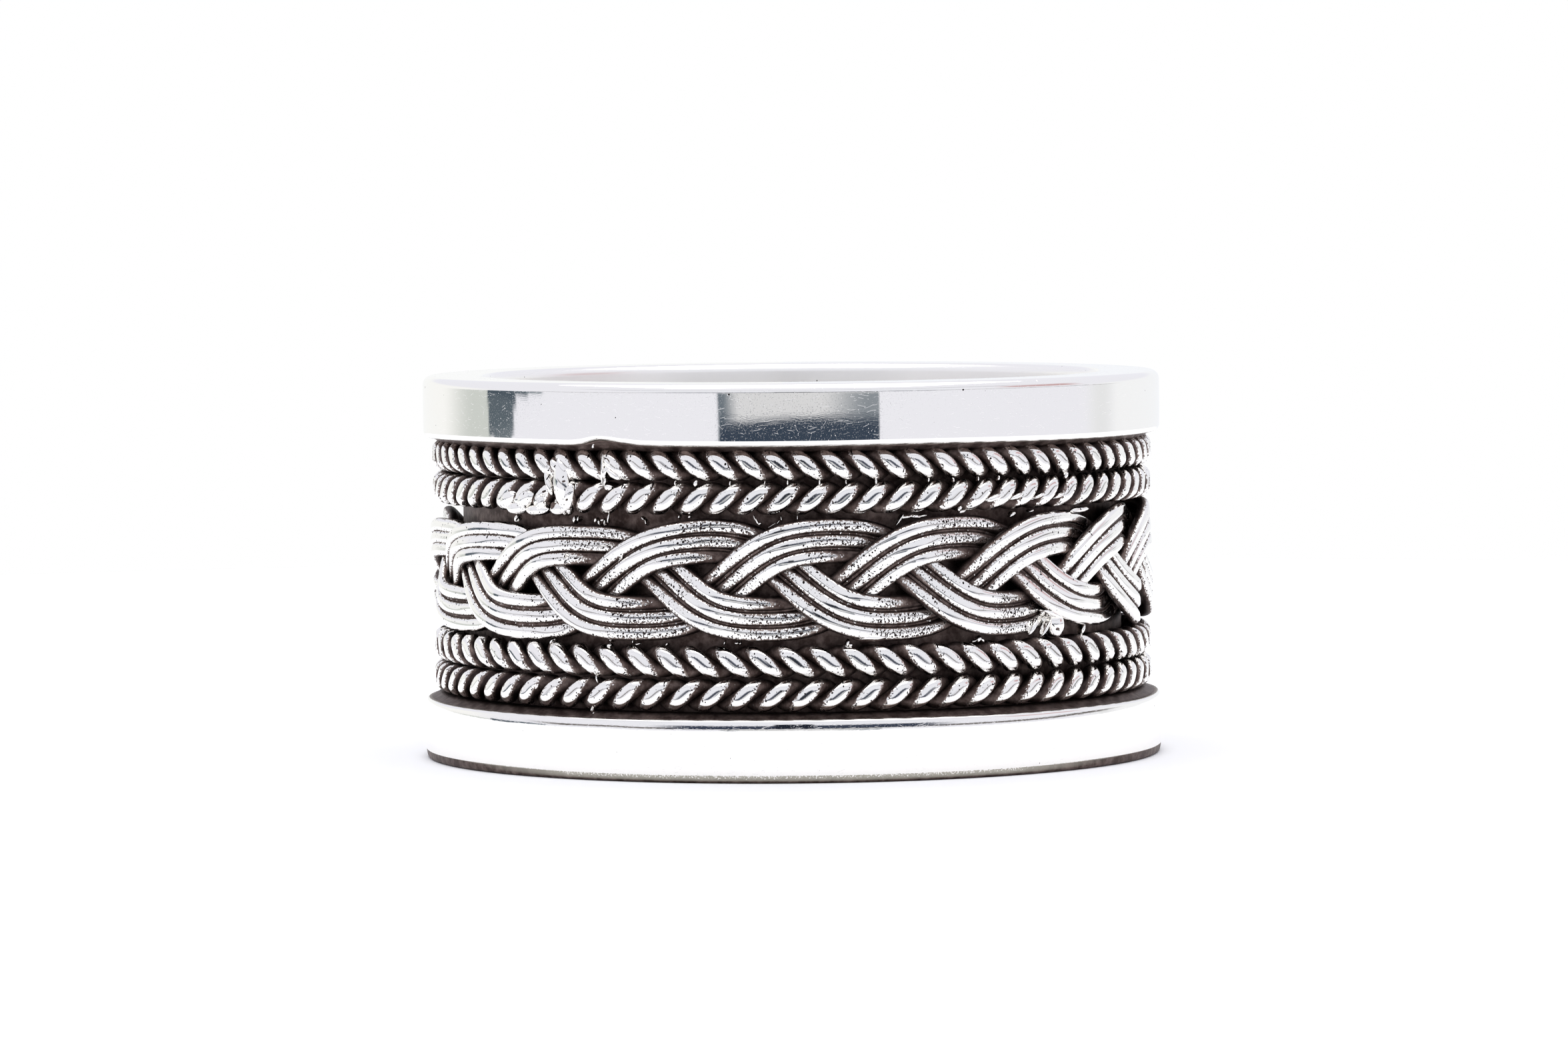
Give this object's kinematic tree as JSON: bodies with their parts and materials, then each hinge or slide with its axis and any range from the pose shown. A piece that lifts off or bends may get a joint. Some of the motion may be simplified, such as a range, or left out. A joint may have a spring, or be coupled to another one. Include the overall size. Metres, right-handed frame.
{
  "type": "band ring",
  "caption": "Wide band ring: a smooth sleeve with two plain polished rims, and between them twisted wire ropes on either side of a flat plait of wires.",
  "frame": {"origin": "centre of the finger hole, at the face of the lower rim that the ring rests on", "axes": "+Z along the finger hole, -Y towards the side shown in the picture, +X to that side's right"},
  "size_m": [0.023, 0.023, 0.0119],
  "materials": {
    "polished_silver": "polished silver, fine scratches, blackened in the recessed channel",
    "worn_oxidised_silver": "blackened silver wire, worn bright on its crests"
  },
  "bodies": {
    "root": {"band": "polished_silver", "upper_outer_rope": "worn_oxidised_silver", "upper_inner_rope": "worn_oxidised_silver", "lower_inner_rope": "worn_oxidised_silver", "lower_outer_rope": "worn_oxidised_silver", "plait_strand_1": "worn_oxidised_silver", "plait_strand_2": "worn_oxidised_silver", "plait_strand_3": "worn_oxidised_silver"}
  },
  "joints": []
}
